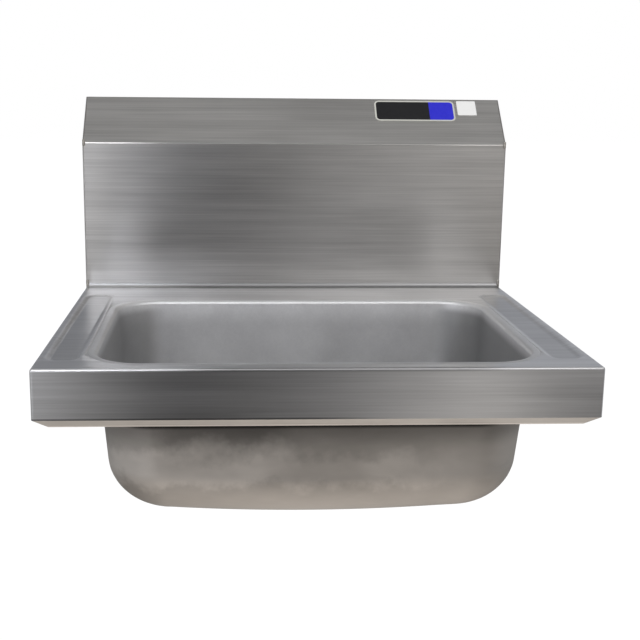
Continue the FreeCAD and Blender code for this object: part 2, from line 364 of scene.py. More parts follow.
def steel(name, tint, tone, rough, lines, clouds, cloud_share, bump=0.0, brushed=0.0, wave=0.0, patches=(),
          ragged_patches=()):
    # Bare steel. A brushed one has its scratches along the piece's own grain map.
    made, tree, shader = new_material(name)
    set_inputs(shader, Metallic=1.0, Anisotropic=brushed)
    place = add(tree, "ShaderNodeTexCoord").outputs["Object"]
    vector = place
    if brushed:
        vector = add(tree, "ShaderNodeUVMap", uv_map="grain").outputs["UV"]
        turn = add(tree, "ShaderNodeTangent", direction_type="UV_MAP", uv_map="grain")
        tree.links.new(turn.outputs["Tangent"], shader.inputs["Tangent"])
    grain = add(tree, "ShaderNodeGroup", node_tree=sheet_grain)
    set_inputs(grain, Lines=lines, Clouds=clouds, Cloud_Share=cloud_share, Tone_Low=tone[0],
               Tone_High=tone[1], Rough_Low=rough[0], Rough_High=rough[1])
    tree.links.new(vector, grain.inputs["Vector"])
    shade = patched(tree, place, grain.outputs["Tone"], patches)
    if ragged_patches:
        shade = patched(tree, uneven(tree, place), shade, ragged_patches)
    colour = add(tree, "ShaderNodeMix", data_type="RGBA")
    colour.inputs["A"].default_value = (0, 0, 0, 1)
    colour.inputs["B"].default_value = (*tint, 1)
    tree.links.new(shade, colour.inputs["Factor"])
    tree.links.new(colour.outputs["Result"], shader.inputs["Base Color"])
    tree.links.new(grain.outputs["Roughness"], shader.inputs["Roughness"])
    normal = None
    if wave:
        slow = add(tree, "ShaderNodeGroup", node_tree=sheet_wave)
        tree.links.new(place, slow.inputs["Vector"])
        normal = bumped(tree, slow.outputs["Height"], 1.0, wave)
    if bump:
        normal = bumped(tree, grain.outputs["Height"], bump, bump_height, normal)
    if normal:
        tree.links.new(normal, shader.inputs["Normal"])
    return made


def plain(name, dark, light, rough, scale, bump, metallic=0.0):
    # Rubber, fibre, paper, print film or plating: a cloudy tone between two colours.
    made, tree, shader = new_material(name)
    set_inputs(shader, Metallic=metallic)
    specks = add(tree, "ShaderNodeGroup", node_tree=speckle)
    set_inputs(specks, Scale=(scale, scale, scale), Dark=(*dark, 1), Light=(*light, 1), Rough_Low=rough[0],
               Rough_High=rough[1])
    tree.links.new(add(tree, "ShaderNodeTexCoord").outputs["Object"], specks.inputs["Vector"])
    tree.links.new(specks.outputs["Color"], shader.inputs["Base Color"])
    tree.links.new(specks.outputs["Roughness"], shader.inputs["Roughness"])
    tree.links.new(bumped(tree, specks.outputs["Height"], bump, bump_height), shader.inputs["Normal"])
    return made


# Noise of the finishes: cells per metre, octaves and the range that is used
noise_rough = 0.55
plain_detail = 1.0
grain_detail = 3.0
grain_low = 0.36
grain_high = 0.64
streak_stretch = (0.25, 0.4, 0.25)
streak_share = 0.4
wave_scale = (9, 9, 9)
speck_detail = 5.0
speck_low = 0.35
speck_high = 0.65
bump_height = 0.0001
ragged_scale = 34.0
ragged_detail = 4.0
ragged_rough = 0.6
ragged_shift = 0.022
sheet_grain = make_grain_group()
sheet_wave = make_wave_group()
speckle = make_speckle_group()
soft_band = make_band_group()

# Patches: the share by which the tone is dulled, then the bands
on_crease = (fade("z", crease_z - 0.0010, crease_z - 0.0005), fade("z", crease_z + 0.0009, crease_z + 0.0004))
on_fold = (fade("y", front_y + 0.0035, front_y + 0.0022), fade("z", deck_z - 0.0030, deck_z - 0.0018))
bowl_front = fade("y", -0.22, -0.30)
splash_patches = (
    # Painted light on the crease: painted shade in the middle and a painted highlight at the left
    (0.33, *on_crease, fade("x", -0.155, -0.125), fade("x", 0.185, 0.125)),
    (-0.60, *on_crease, fade("x", -0.150, -0.180)),
)
deck_patches = (
    # Painted light: the flat is painted brighter than the troughs, and painted shade dulls the cove
    (-0.25, fade("z", deck_z - 0.0012, deck_z - 0.0002), fade("z", deck_z + 0.0010, deck_z + 0.0003)),
    (0.24, fade("z", deck_z + 0.0003, deck_z + 0.0010)),
    # Painted shade in the corner in front of the splash, and a painted highlight on a strip before it
    (0.50, fade("y", corner_y - 0.009, corner_y - 0.002), fade("z", deck_z + 0.0022, deck_z + 0.0008),
     fade("x", -0.17, -0.09)),
    (-0.30, fade("y", bowl_high.y - 0.02, bowl_high.y - 0.01), fade("y", corner_y - 0.008, corner_y - 0.024),
     fade("x", -0.14, -0.09), fade("x", 0.13, 0.05)),
    # Painted shade: a dark line at the apron's foot
    (0.60, fade("z", apron_low + 0.0020, apron_low + 0.0008), fade("x", 0.06, -0.02)),
    # Painted light on the front fold: painted shade in the middle and a painted highlight at the left
    (0.33, *on_fold, fade("x", -0.11, -0.06), fade("x", 0.15, 0.105)),
    (-0.35, *on_fold, fade("x", -0.085, -0.125)),
)
return_patches = (
    # Painted highlight on the lower edge of the return
    (-0.45, fade("z", under_z + 0.0018, under_z + 0.0010)),
)
inside_patches = (
    # Painted highlight on the back rim, and painted shade on the ends of the drawn bowl
    (-0.28, fade("z", deck_z - 0.026, deck_z - 0.004), fade("y", bowl_y + 0.08, bowl_y + 0.11)),
    (0.38, fade("x", -0.128, -0.150), fade("z", deck_z - 0.003, deck_z - 0.012)),
    (0.48, fade("x", 0.128, 0.150), fade("z", deck_z - 0.003, deck_z - 0.012)),
)
outside_patches = (
    # Painted shade under the deck, darkest right below the return
    (0.40, fade("z", under_z - 0.027, under_z - 0.006), bowl_front),
    (0.80, fade("z", under_z - 0.0075, under_z - 0.0045), fade("z", under_z + 0.006, under_z + 0.002),
     fade("x", -0.160, -0.135), fade("x", 0.150, 0.125), bowl_front),
)
outside_stain_and_sheen = (
    # A stain at the upper left, and a painted lighter band lower down
    (0.32, fade("z", under_z - 0.024, under_z - 0.012), fade("x", -0.135, -0.110), fade("x", 0.01, -0.05),
     bowl_front),
    (-0.36, fade("z", under_z - 0.020, under_z - 0.036), fade("z", under_z - 0.062, under_z - 0.048),
     fade("x", 0.12, 0.05)),
)

# Finishes
warm_steel = (1.0, 0.98, 0.955)
cool_steel = (0.985, 0.985, 1.0)
brushing = dict(tone=(0.515, 0.705), rough=(0.285, 0.325), lines=(620, 8, 1), clouds=(14, 5, 1),
                cloud_share=0.35, brushed=0.75, wave=0.0003)
film = dict(scale=300, bump=0.02)
brushed_sheet = steel("brushed_sheet", warm_steel, **brushing)
splash_sheet = steel("splash_sheet", warm_steel, **brushing, patches=splash_patches)
deck_sheet = steel("deck_sheet", cool_steel, **brushing, patches=deck_patches)
# The return's sheet: rougher, and lighter and warmer in tone as a painted reflection of a warm floor
return_painted_sheen = steel(
    "return_painted_sheen", (1.0, 0.965, 0.925), tone=(0.70, 0.82), rough=(0.50, 0.62), lines=(60, 60, 60),
    clouds=(16, 16, 16), cloud_share=0.5, bump=0.1, patches=return_patches)
drawn_sheet = steel(
    "drawn_sheet", (0.99, 0.99, 1.0), tone=(0.70, 0.79), rough=(0.48, 0.58), lines=(420, 420, 420),
    clouds=(20, 20, 20), cloud_share=0.5, bump=0.1, wave=0.0005, patches=inside_patches)
drawn_outside = steel(
    "drawn_outside", (1.0, 0.95, 0.90), tone=(0.41, 0.58), rough=(0.44, 0.56), lines=(26, 26, 80),
    clouds=(10, 10, 16), cloud_share=0.65, bump=0.1, wave=0.0015, patches=outside_patches,
    ragged_patches=outside_stain_and_sheen)
bracket_sheet = steel(
    "bracket_sheet", (0.97, 0.99, 1.0), tone=(0.40, 0.52), rough=(0.34, 0.5), lines=(9, 500, 500),
    clouds=(20, 20, 20), cloud_share=0.4, bump=0.2)
weld_steel = steel(
    "weld_steel", (1.0, 0.95, 0.88), tone=(0.34, 0.60), rough=(0.30, 0.40), lines=(900, 900, 900),
    clouds=(300, 300, 300), cloud_share=0.5, bump=0.5)
strainer_steel = steel(
    "strainer_steel", (1, 1, 0.99), tone=(0.56, 0.66), rough=(0.16, 0.26), lines=(500, 500, 500),
    clouds=(90, 90, 90), cloud_share=0.5, bump=0.1)
drain_chrome = plain(
    "drain_chrome", (0.58, 0.59, 0.60), (0.66, 0.66, 0.67), rough=(0.08, 0.16), scale=120, bump=0.05,
    metallic=1.0)
knob_chrome = plain(
    "knob_chrome", (0.62, 0.62, 0.63), (0.70, 0.70, 0.71), rough=(0.06, 0.12), scale=200, bump=0.05,
    metallic=1.0)
locknut_brass = plain(
    "locknut_brass", (0.50, 0.34, 0.12), (0.66, 0.48, 0.20), rough=(0.3, 0.45), scale=260, bump=0.4,
    metallic=1.0)
rubber = plain("rubber", (0.018, 0.018, 0.018), (0.03, 0.03, 0.03), rough=(0.6, 0.8), scale=500, bump=0.4)
fibre = plain("fibre", (0.20, 0.07, 0.04), (0.34, 0.14, 0.08), rough=(0.7, 0.9), scale=900, bump=0.5)
label_field = plain("label_field", (0.008, 0.008, 0.010), (0.014, 0.014, 0.016), rough=(0.285, 0.325), **film)
label_blue = plain("label_blue", (0.010, 0.010, 0.58), (0.016, 0.016, 0.68), rough=(0.285, 0.325), **film)
label_pale = plain("label_pale", (0.55, 0.55, 0.50), (0.65, 0.65, 0.60), rough=(0.30, 0.38), **film)
paper = plain("paper", (0.80, 0.80, 0.79), (0.88, 0.88, 0.87), rough=(0.7, 0.85), scale=1400, bump=0.3)


# Mesh helpers

def near(a, b):
    return abs(a - b) < same_place


def rounded_face(mesh, x0, x1, y0, y1, z, corner, steps):
    # A flat face with round corners.
    before = set(mesh.faces)
    place = Matrix.Translation(((x0 + x1) / 2, (y0 + y1) / 2, z)) @ Matrix.Diagonal((x1 - x0, y1 - y0, 1, 1))
    made = bmesh.ops.create_grid(mesh, x_segments=1, y_segments=1, size=0.5, matrix=place)
    bmesh.ops.bevel(mesh, geom=made["verts"], affect="VERTICES", offset=corner, offset_type="OFFSET",
                    segments=steps, profile=0.5, material=-1, clamp_overlap=False)
    return next(face for face in mesh.faces if face not in before)


def fold(mesh, edges, radius, turn, steps):
    # Rounds edges to a bend radius; turn is the angle between the two faces' directions.
    bmesh.ops.bevel(mesh, geom=edges, affect="EDGES", offset=radius * math.tan(turn / 2),
                    offset_type="OFFSET", segments=steps, profile=0.5, material=-1, clamp_overlap=False)


def verts_of(made):
    return [item for item in made["geom"] if isinstance(item, bmesh.types.BMVert)]


def edges_of(made):
    return [item for item in made["geom"] if isinstance(item, bmesh.types.BMEdge)]


def faces_of(made):
    return [item for item in made["geom"] if isinstance(item, bmesh.types.BMFace)]


def from_axis(v):
    # Distance from the drain's axis.
    return Vector((v.co.x, v.co.y - bowl_y)).length


def clean(mesh, outward):
    # Merges doubles and turns the faces so that the one furthest along outward looks that way.
    bmesh.ops.remove_doubles(mesh, verts=mesh.verts[:], dist=same_place)
    bmesh.ops.recalc_face_normals(mesh, faces=mesh.faces[:])
    outward = Vector(outward)
    test = max(mesh.faces, key=lambda face: abs(face.normal.dot(outward)) * face.calc_area())
    if test.normal.dot(outward) < 0:
        bmesh.ops.reverse_faces(mesh, faces=mesh.faces[:])


def map_grain(mesh):
    # Grain map: U across the grain, V along it. It runs along X, and down on faces that look sideways.
    layer = mesh.loops.layers.uv.new("grain")
    for face in mesh.faces:
        along = Vector((0, 0, 1)) if abs(face.normal.x) > sideways else Vector((1, 0, 0))
        across = face.normal.cross(along).normalized()
        for corner in face.loops:
            corner[layer].uv = corner.vert.co.dot(across), corner.vert.co.dot(along)


def finish_piece(name, mesh, materials, body, nodes, thickness=0.0, edge=0.0):
    # Makes a piece of a mesh: sheet thickness, softened edges, and what it rides on and replaces.
    map_grain(mesh)
    data = bpy.data.meshes.new(name)
    mesh.to_mesh(data)
    mesh.free()
    for material in materials:
        data.materials.append(material)
    data.polygons.foreach_set("use_smooth", [True] * len(data.polygons))
    data.set_sharp_from_angle(angle=smooth_angle)
    piece = bpy.data.objects.new(name, data)
    bpy.context.scene.collection.objects.link(piece)
    if thickness:
        skin = piece.modifiers.new("thickness", "SOLIDIFY")
        skin.thickness = thickness
        skin.offset = -1
        skin.use_even_offset = True
        skin.material_offset = len(materials) - 1
    if edge:
        rounding = piece.modifiers.new("edges", "BEVEL")
        rounding.width = edge
        rounding.segments = edge_steps
        rounding.limit_method = "ANGLE"
        rounding.angle_limit = edge_angle
        joined = piece.modifiers.new("joined", "WELD")
        joined.merge_threshold = same_place
    normals = piece.modifiers.new("normals", "WEIGHTED_NORMAL")
    normals.keep_sharp = True
    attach(piece, body)
    if nodes:
        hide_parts(*nodes)
    return piece


# Deck with its apron

def press_trough(mesh, side):
    # One pressed trough with softly turned sides; returns the edges of its mouth.
    inner = mouth_x + rim_flange + trough_gap
    outer = half_width - trough_edge
    front = front_y + trough_front
    back = splash_y - trough_back
    x0, x1 = sorted((side * inner, side * outer))
    face = rounded_face(mesh, x0, x1, front, back, deck_z, trough_corner, trough_corner_steps)
    mouth = face.edges[:]
    middle = Vector(((x0 + x1) / 2, (front + back) / 2, deck_z))
    width, length, drop = outer - inner, back - front, 0.0
    for step in range(1, trough_steps + 1):
        share = step / trough_steps
        made = bmesh.ops.extrude_face_region(mesh, geom=[face], use_keep_orig=True)
        bmesh.ops.delete(mesh, geom=[face], context="FACES_ONLY")
        face = faces_of(made)[0]
        new_width = outer - inner - share * (trough_inner_slope + trough_outer_slope)
        new_length = back - front - share * 2 * trough_end_slope
        new_drop = trough_depth * share * share * (3 - 2 * share)
        bmesh.ops.scale(mesh, verts=face.verts[:], space=Matrix.Translation(-middle),
                        vec=(new_width / width, new_length / length, 1))
        drift = side * (trough_inner_slope - trough_outer_slope) / 2 / trough_steps
        shift = Vector((drift, 0, drop - new_drop))
        bmesh.ops.translate(mesh, verts=face.verts[:], vec=shift)
        middle += shift
        width, length, drop = new_width, new_length, new_drop
    return mouth


def make_deck():
    mesh = bmesh.new()
    size = Vector((2 * half_width, splash_y - front_y, apron_height))
    middle = Vector((0, (splash_y + front_y) / 2, deck_z - apron_height / 2))
    bmesh.ops.create_cube(mesh, size=1, matrix=Matrix.Translation(middle) @ Matrix.Diagonal((*size, 1)))
    open_sides = [f for f in mesh.faces if near(f.calc_center_median().z, apron_low)
                  or near(f.calc_center_median().y, splash_y)]
    bmesh.ops.delete(mesh, geom=open_sides, context="FACES")
    fold(mesh, [e for e in mesh.edges if not e.is_boundary], apron_bend, math.pi / 2, apron_steps)
    bmesh.ops.bisect_plane(mesh, geom=mesh.verts[:] + mesh.edges[:] + mesh.faces[:],
                           plane_co=(0, corner_y, 0), plane_no=(0, 1, 0))
    flat = sorted((f for f in mesh.faces if f.normal.z > facing), key=lambda f: f.calc_center_median().y)
    bmesh.ops.delete(mesh, geom=flat[1:], context="FACES")
    rim = flat[0].edges[:]
    back_edge = max(rim, key=lambda e: e.verts[0].co.y + e.verts[1].co.y)
    bmesh.ops.delete(mesh, geom=flat[:1], context="FACES_ONLY")
    # The flat deck lies between its outline, the bowl's opening and the troughs
    opening = rounded_face(mesh, -mouth_x - rim_flange, mouth_x + rim_flange, bowl_y - mouth_y - rim_flange,
                           bowl_y + mouth_y + rim_flange, deck_z, mouth_corner + rim_flange, corner_steps)
    loops = rim + opening.edges[:]
    bmesh.ops.delete(mesh, geom=[opening], context="FACES_ONLY")
    for side in (-1, 1):
        loops += press_trough(mesh, side)
    bmesh.ops.triangle_fill(mesh, use_beauty=True, use_dissolve=False, edges=loops, normal=(0, 0, 1))
    # Cove at the back
    bmesh.ops.spin(mesh, geom=[back_edge, *back_edge.verts], cent=(0, corner_y, deck_z + cove),
                   axis=(1, 0, 0), angle=math.pi / 2, steps=cove_steps)
    # Sloping return under the apron
    low_edges = [e for e in mesh.edges if e.is_boundary and all(near(v.co.z, apron_low) for v in e.verts)]
    returned = verts_of(bmesh.ops.extrude_edge_only(mesh, edges=low_edges))
    for v in returned:
        if abs(v.co.x) > half_width - apron_bend - same_place:
            v.co.x -= math.copysign(return_run, v.co.x)
        if v.co.y < front_y + apron_bend + same_place:
            v.co.y += return_run
        v.co.z = under_z
    for face in {face for v in returned for face in v.link_faces}:
        face.material_index = 1
    clean(mesh, (0, -1, 0))
    return finish_piece("deck", mesh, [deck_sheet, return_painted_sheen], "sink", ["deck_pan"], sheet)


# Drawn bowl

def outline(mesh, half_x, half_y, z, corner):
    # Edges of a round-cornered outline whose straight sides are split evenly.
    face = rounded_face(mesh, -half_x, half_x, bowl_y - half_y, bowl_y + half_y, z, corner, corner_steps)
    straight = sorted(face.edges, key=lambda e: e.calc_length())[-4:]
    bmesh.ops.subdivide_edges(mesh, edges=straight, cuts=side_steps - 1)
    edges = face.edges[:]
    bmesh.ops.delete(mesh, geom=[face], context="FACES_ONLY")
    return edges


def crown(v):
    # Height of the domed floor above its middle.
    return (v.co.x ** 2 + (v.co.y - bowl_y) ** 2) / (2 * crown_radius)


def make_bowl():
    mesh = bmesh.new()
    slope = math.tan(wall_draft)
    wall_x = mouth_x - rim_roll + rim_roll * slope
    wall_y_half = mouth_y - rim_roll + rim_roll * slope
    draw = bowl_depth * slope
    rim = outline(mesh, mouth_x + rim_flange, mouth_y + rim_flange, deck_z, mouth_corner + rim_flange)
    mouth = outline(mesh, wall_x, wall_y_half, deck_z, mouth_corner - rim_roll)
    foot = outline(mesh, wall_x - draw, wall_y_half - draw, floor_z, floor_corner)
    circle = bmesh.ops.create_circle(mesh, segments=len(foot), radius=recess_r,
                                     matrix=Matrix.Translation((0, bowl_y, floor_z)))
    drain = list({e for v in circle["verts"] for e in v.link_edges})
    for v in {v for e in foot + drain for v in e.verts}:
        v.co.z += crown(v)
    bmesh.ops.bridge_loops(mesh, edges=rim + mouth)
    bmesh.ops.bridge_loops(mesh, edges=mouth + foot)
    bmesh.ops.bridge_loops(mesh, edges=foot + drain)
    fold(mesh, foot, floor_radius, math.pi / 2 - 2 * wall_draft, foot_steps)
    fold(mesh, mouth, rim_roll, math.pi / 2 - wall_draft, roll_steps)
    # Domed floor between the corner radius and the drain's recess
    at_recess = {v for v in mesh.verts if v.co.z > floor_z and near(from_axis(v), recess_r)}
    spokes = [e for e in mesh.edges if e not in drain and at_recess.intersection(e.verts)]
    made = bmesh.ops.subdivide_edges(mesh, edges=spokes, cuts=floor_cuts, use_grid_fill=True)
    for v in (v for v in made["geom_inner"] if isinstance(v, bmesh.types.BMVert)):
        v.co.z = floor_z + crown(v)
    # Recess and hole for the drain
    for radius in (recess_r - recess_slope, drain_hole_r):
        made = bmesh.ops.extrude_edge_only(mesh, edges=drain)
        drain = edges_of(made)
        loop = verts_of(made)
        ratio = radius / from_axis(loop[0])
        bmesh.ops.scale(mesh, verts=loop, space=Matrix.Translation((0, -bowl_y, 0)), vec=(ratio, ratio, 1))
        for v in loop:
            v.co.z = floor_z - recess_depth
    clean(mesh, (0, 0, 1))
    sides = [drawn_sheet, drawn_outside]
    return finish_piece("bowl", mesh, sides, "sink", ["sink_bowl"], sheet)


# Splash and its end plates

def run(mesh, vert, vec):
    # Draws the sheet's outline on by one straight run.
    made = bmesh.ops.extrude_vert_indiv(mesh, verts=[vert])["verts"][0]
    made.co += Vector(vec)
    return made


def bend(mesh, vert, towards, angle, steps):
    # Draws the outline on by one bend of the splash, round a centre that lies towards the sheet's inside.
    centre = vert.co + splash_bend * Vector(towards)
    made = bmesh.ops.spin(mesh, geom=[vert], cent=centre, axis=(1, 0, 0), angle=-angle, steps=steps)
    return made["geom_last"][0]


def splash_outline(mesh, x, low, back_low):
    # Up the splash, back along the slope and down behind it.
    crease_set = splash_bend * math.tan(crease_turn / 2)
    top_set = splash_bend * math.tan(top_turn / 2)
    slope_length = math.hypot(wall_y - splash_y, slope_top_z - crease_z) - crease_set - top_set
    slope = Vector((0, math.sin(crease_turn), math.cos(crease_turn)))
    vert = mesh.verts.new((x, splash_y, low))
    vert = run(mesh, vert, (0, 0, crease_z - crease_set - low))
    vert = bend(mesh, vert, (0, 1, 0), crease_turn, crease_steps)
    vert = run(mesh, vert, slope * slope_length)
    vert = bend(mesh, vert, (0, slope.z, -slope.y), top_turn, top_steps)
    return run(mesh, vert, (0, 0, back_low - vert.co.z))


def make_splash():
    mesh = bmesh.new()
    splash_outline(mesh, -splash_high.x, splash_low.z, hook_z)
    made = bmesh.ops.extrude_edge_only(mesh, edges=mesh.edges[:])
    bmesh.ops.translate(mesh, verts=verts_of(made), vec=(2 * splash_high.x, 0, 0))
    clean(mesh, (0, -1, 0))
    return finish_piece("splash", mesh, [splash_sheet], "sink", ["splash_panel"], sheet)


def make_splash_end(side, name, node):
    mesh = bmesh.new()
    splash_outline(mesh, side * half_width, apron_low, apron_low)
    bmesh.ops.contextual_create(mesh, geom=mesh.verts[:])
    for z in (apron_low + flange_end_gap, hook_z - flange_end_gap):
        bmesh.ops.bisect_plane(mesh, geom=mesh.verts[:] + mesh.edges[:] + mesh.faces[:], plane_co=(0, 0, z),
                               plane_no=(0, 0, 1))
    back = [e for e in mesh.edges if all(near(v.co.y, wall_y) for v in e.verts)]
    flange = bmesh.ops.extrude_edge_only(mesh, edges=[max(back, key=lambda e: e.calc_length())])
    bmesh.ops.translate(mesh, verts=verts_of(flange), vec=(-side * end_flange, 0, 0))
    clean(mesh, (side, 0, 0))
    return finish_piece(name, mesh, [brushed_sheet], "sink", [node], sheet, edge=end_round)


def make_weld_beads():
    # Short beads where the splash's crease and the deck's cove meet the end plates.
    mesh = bmesh.new()
    for side in (-1, 1):
        for z in (crease_z, deck_z + cove):
            for step in range(bead_count):
                rise = (step - (bead_count - 1) / 2) * bead_pitch
                place = Vector((side * (half_width - bead_r), splash_y - bead_rise, z + rise))
                shape = Matrix.Translation(place) @ Matrix.Diagonal((*bead_shape, 1))
                bmesh.ops.create_icosphere(mesh, subdivisions=3, radius=bead_r, matrix=shape)
    bmesh.ops.recalc_face_normals(mesh, faces=mesh.faces[:])
    return finish_piece("weld_beads", mesh, [weld_steel], "sink", [])


# Drain and strainer

def turned(mesh, points, closed=True):
    # Turns an outline of radius and height round the drain's axis.
    corners = [mesh.verts.new((r, bowl_y, z)) for r, z in points]
    ends = corners[1:] + corners[:1] if closed else corners[1:]
    lines = [mesh.edges.new(pair) for pair in zip(corners, ends)]
    bmesh.ops.spin(mesh, geom=corners + lines, cent=(0, bowl_y, 0), axis=(0, 0, 1), angle=2 * math.pi,
                   steps=round_steps, use_merge=True)
    bmesh.ops.remove_doubles(mesh, verts=mesh.verts[:], dist=same_place)
    bmesh.ops.recalc_face_normals(mesh, faces=mesh.faces[:])


def ring(mesh, radius, z):
    # The edges of one turned corner.
    def on_ring(v):
        return near(from_axis(v), radius) and near(v.co.z, z)
    return [e for e in mesh.edges if all(on_ring(v) for v in e.verts)]


def soften(mesh, corners, radius, steps=3):
    edges = [e for r, z in corners for e in ring(mesh, r, z)]
    bmesh.ops.bevel(mesh, geom=edges, affect="EDGES", offset=radius, offset_type="OFFSET", segments=steps,
                    profile=0.5, material=-1)


def make_drain_body():
    mesh = bmesh.new()
    top = drain_high.z
    low = drain_low.z
    under = top - flange_thick
    shoulder = low + thread_end_length
    seat_z = top - seat_drop
    flange_r = drain_high.x
    pitch = thread_end_length / thread_count
    thread_root_r = thread_end_r - thread_depth
    points = [(neck_bore_r, seat_z), (neck_bore_r, low)]
    for turn in range(thread_count):
        start = low + turn * pitch
        crest, fall, foot = (start + pitch * share for share in thread_shares)
        points += [(thread_root_r, start), (thread_end_r, crest), (thread_end_r, fall), (thread_root_r, foot)]
    points += [(thread_root_r, shoulder), (neck_r, shoulder), (neck_r, under), (flange_r, under),
               (flange_r, top), (dish_r, top), (seat_r, seat_z)]
    turned(mesh, points)
    soften(mesh, [(flange_r, top)], flange_round, steps=5)
    soften(mesh, [(dish_r, top)], flange_round / 2)
    return finish_piece("drain", mesh, [drain_chrome], "sink", ["drain_body"])


def make_washer(name, node, low, high, material):
    mesh = bmesh.new()
    outer = high.x
    turned(mesh, [(washer_bore_r, low.z), (outer, low.z), (outer, high.z), (washer_bore_r, high.z)])
    soften(mesh, [(outer, low.z), (outer, high.z)], washer_round)
    return finish_piece(name, mesh, [material], "sink", [node])


def make_post():
    mesh = bmesh.new()
    collar_z = cup_low.z + cup_sheet
    collar_top = collar_z + collar_height
    turned(mesh, [(0, post_low.z), (post_r, post_low.z), (post_r, collar_z), (collar_r, collar_z),
                  (collar_r, collar_top), (post_r, collar_top), (post_r, post_high.z), (0, post_high.z)],
           closed=False)
    soften(mesh, [(post_r, post_low.z), (collar_r, collar_top)], edge_round, steps=2)
    return finish_piece("strainer_stem", mesh, [strainer_steel], "strainer", ["strainer_post"])


def make_knob():
    mesh = bmesh.new()
    low = knob_low.z
    top = knob_high.z
    knob_r = knob_high.x
    hole_r = post_r + thread_clear
    turned(mesh, [(0, top), (knob_r, top), (knob_r, low), (hole_r, low), (hole_r, low + knob_grip),
                  (0, low + knob_grip)], closed=False)
    soften(mesh, [(knob_r, top)], knob_crown, steps=10)
    soften(mesh, [(knob_r, low)], knob_foot, steps=5)
    return finish_piece("strainer_pull", mesh, [knob_chrome], "strainer", ["strainer_knob"])


def copy_node(name, node, material, body, edge):
    # A merged copy of a plain solid, with its sharp edges softened.
    mesh = bmesh.new()
    mesh.from_mesh(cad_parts[node].data)
    bmesh.ops.remove_doubles(mesh, verts=mesh.verts[:], dist=same_place)
    bmesh.ops.dissolve_limit(mesh, angle_limit=flat_angle, verts=mesh.verts[:], edges=mesh.edges[:])
    return finish_piece(name, mesh, [material], body, [node], edge=edge)


# Labels

def on_slope(x, up):
    # Place of a label on the sloping top, measured up the slope from the crease.
    rise = up * math.sin(crease_turn)
    return Matrix.Translation((x, splash_y + rise, crease_z + rise)) @ Matrix.Rotation(crease_turn, 4, "X")


def make_label(name, node, x, up, size, corner, thick, materials, border):
    mesh = bmesh.new()
    half_x, half_y = size[0] / 2, size[1] / 2
    face = rounded_face(mesh, -half_x, half_x, -half_y, half_y, 0, corner, label_corner_steps)
    made = bmesh.ops.extrude_face_region(mesh, geom=[face], use_keep_orig=True)
    bmesh.ops.translate(mesh, verts=verts_of(made), vec=(0, 0, thick))
    top = faces_of(made)[0]
    bmesh.ops.recalc_face_normals(mesh, faces=mesh.faces[:])
    if border:
        bmesh.ops.inset_region(mesh, faces=[top], thickness=border, depth=-label_rise, use_even_offset=True)
        top.material_index = 1
        split = half_x - border - blue_share * size[0]
        cut = bmesh.ops.bisect_plane(mesh, geom=[top, *top.edges, *top.verts], plane_co=(split, 0, 0),
                                     plane_no=(1, 0, 0))
        for field in faces_of(cut):
            if field.material_index == 1 and field.calc_center_median().x > split:
                field.material_index = 2
    bmesh.ops.transform(mesh, matrix=on_slope(x, up), verts=mesh.verts[:])
    return finish_piece(name, mesh, materials, "sink", [node], edge=label_edge)


make_deck()
make_bowl()
make_splash()
make_splash_end(-1, "end_left", "splash_end_left")
make_splash_end(1, "end_right", "splash_end_right")
make_weld_beads()
make_drain_body()
make_washer("seal", "drain_gasket", gasket_low, gasket_high, rubber)
make_washer("rubber_ring", "drain_rubber_washer", rubber_low, rubber_high, rubber)
make_washer("fibre_ring", "drain_fibre_washer", fibre_low, fibre_high, fibre)
copy_node("lock_ring", "drain_locknut", locknut_brass, "sink", edge_round)
copy_node("strainer_basket", "strainer_cup", strainer_steel, "strainer", basket_edge)
make_post()
make_knob()
copy_node("strainer_under_nut", "strainer_nut", strainer_steel, "strainer", edge_round)
copy_node("wall_hook", "wall_bracket", bracket_sheet, "bracket", edge_round)
make_label("label", "label_plate", label_x, label_up, label_size, label_corner, label_thick,
           [label_pale, label_field, label_blue], label_border)
make_label("paper_square", "sticker", sticker_x, sticker_up, sticker_size, sticker_corner, sticker_thick,
           [paper], 0)


# Stage, light and camera

def seen_rays(tree):
    # 1 for what the camera sees, straight or in a reflection.
    path = add(tree, "ShaderNodeLightPath")
    mirrored = add(tree, "ShaderNodeMath", operation="MAXIMUM")
    either = add(tree, "ShaderNodeMath", operation="MAXIMUM")
    tree.links.new(path.outputs["Is Glossy Ray"], mirrored.inputs[0])
    tree.links.new(path.outputs["Is Transmission Ray"], mirrored.inputs[1])
    tree.links.new(path.outputs["Is Camera Ray"], either.inputs[0])
    tree.links.new(mirrored.outputs["Value"], either.inputs[1])
    return either.outputs["Value"]


def make_floor():
    # A pale floor that keeps the shadow and is lifted to white where it is seen.
    made, tree, shader = new_material("pale_floor")
    set_inputs(shader, Roughness=0.9, Specular_IOR_Level=0.0, Base_Color=(*floor_tone, 1),
               Emission_Color=(1, 1, 1, 1))
    lift = add(tree, "ShaderNodeMath", operation="MULTIPLY")
    lift.inputs[1].default_value = floor_lift
    tree.links.new(seen_rays(tree), lift.inputs[0])
    tree.links.new(lift.outputs["Value"], shader.inputs["Emission Strength"])
    bpy.ops.mesh.primitive_plane_add(size=floor_size, location=(0, 0, deck_z - deck_above_floor))
    floor = bpy.context.object
    floor.name = "floor"
    floor.data.materials.append(made)


def even(level):
    # The same light level from side to side.
    return (room_left, level), (room_right, level)


